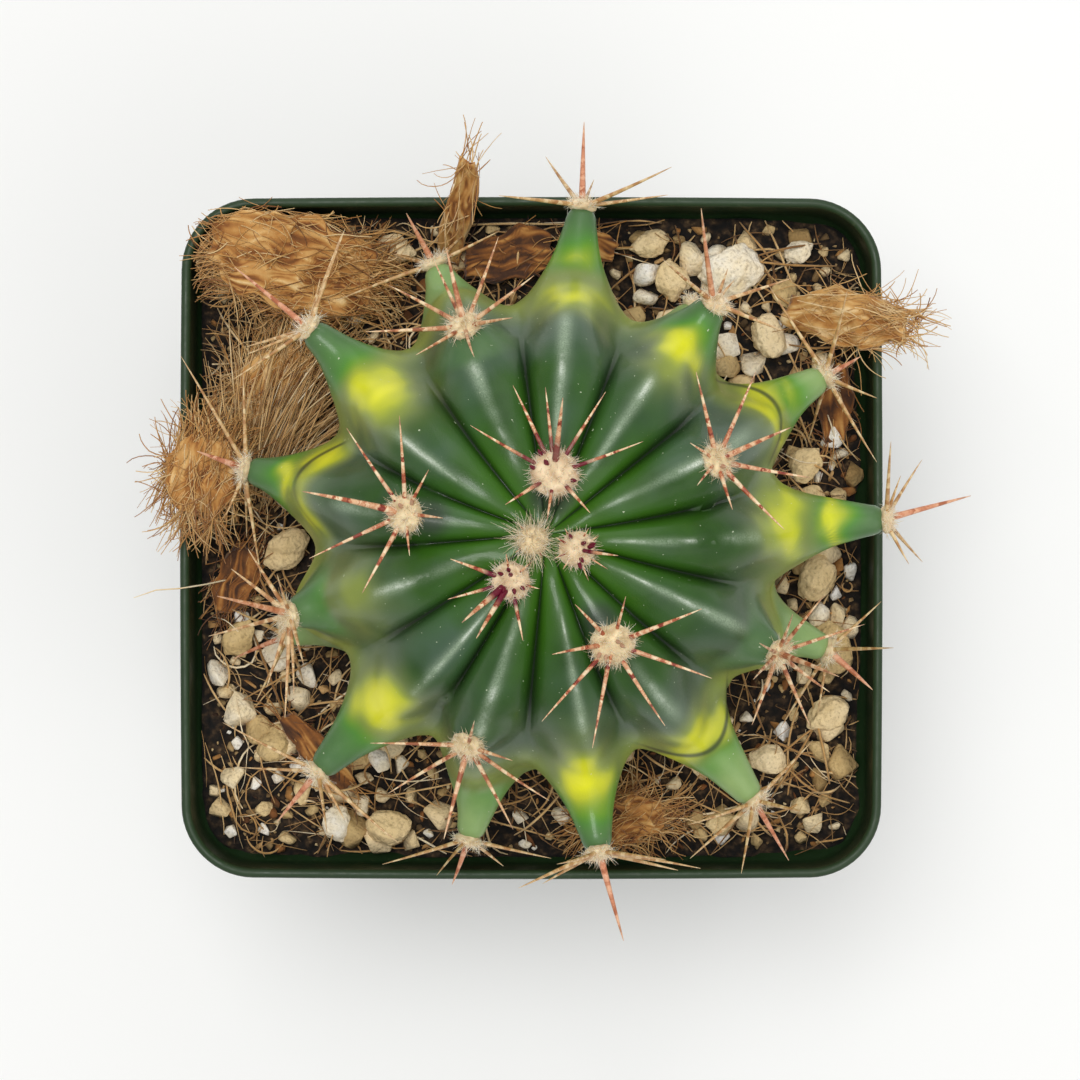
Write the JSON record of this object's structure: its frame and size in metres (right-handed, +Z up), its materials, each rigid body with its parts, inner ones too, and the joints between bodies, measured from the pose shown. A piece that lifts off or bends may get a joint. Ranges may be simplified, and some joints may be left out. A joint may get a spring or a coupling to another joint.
{
  "type": "potted barrel cactus in a square nursery pot",
  "caption": "Young ribbed barrel cactus with spiny tubercles, growing in gritty potting mix in a square tapered nursery pot.",
  "frame": {"origin": "middle of the pot's flat underside", "axes": "+Z up along the pot; X along the slightly longer side of the rim"},
  "size_m": [0.1009, 0.103, 0.1341],
  "materials": {
    "pot_plastic": "satin",
    "potting_mix": "matte",
    "cactus_skin": "satin",
    "spine_and_wool": "matte",
    "pumice": "matte",
    "coir_husk": "matte"
  },
  "bodies": {
    "root": {"cactus_stem": "cactus_skin", "fibre_tuft_left": "coir_husk", "husk_blade_right": "coir_husk", "husk_blade_top": "coir_husk", "husk_cap_left": "coir_husk", "husk_chip_amber": "coir_husk", "husk_chip_bottom": "coir_husk", "husk_chip_left": "coir_husk", "husk_chip_low_left": "coir_husk", "husk_chip_right": "coir_husk", "husk_chip_rust": "coir_husk", "husk_slab_corner": "coir_husk", "pot": "pot_plastic", "pumice_00": "pumice", "pumice_01": "pumice", "pumice_02": "pumice", "pumice_03": "pumice", "pumice_04": "pumice", "pumice_05": "pumice", "pumice_06": "pumice", "pumice_07": "pumice", "pumice_08": "pumice", "pumice_09": "pumice", "pumice_10": "pumice", "pumice_11": "pumice", "pumice_12": "pumice", "pumice_13": "pumice", "pumice_14": "pumice", "pumice_15": "pumice", "pumice_16": "pumice", "pumice_17": "pumice", "pumice_18": "pumice", "pumice_19": "pumice", "soil": "potting_mix", "spine_cluster_00": "spine_and_wool", "spine_cluster_01": "spine_and_wool", "spine_cluster_02": "spine_and_wool", "spine_cluster_03": "spine_and_wool", "spine_cluster_04": "spine_and_wool", "spine_cluster_05": "spine_and_wool", "spine_cluster_06": "spine_and_wool", "spine_cluster_07": "spine_and_wool", "spine_cluster_08": "spine_and_wool", "spine_cluster_09": "spine_and_wool", "spine_cluster_10": "spine_and_wool", "spine_cluster_11": "spine_and_wool", "spine_cluster_12": "spine_and_wool", "spine_cluster_13": "spine_and_wool", "spine_cluster_14": "spine_and_wool", "spine_cluster_15": "spine_and_wool", "spine_cluster_16": "spine_and_wool", "spine_cluster_17": "spine_and_wool", "spine_cluster_18": "spine_and_wool", "spine_cluster_19": "spine_and_wool", "spine_cluster_20": "spine_and_wool", "spine_cluster_21": "spine_and_wool", "spine_cluster_22": "spine_and_wool", "spine_cluster_23": "spine_and_wool", "spine_cluster_24": "spine_and_wool", "spine_cluster_25": "spine_and_wool"}
  },
  "joints": []
}
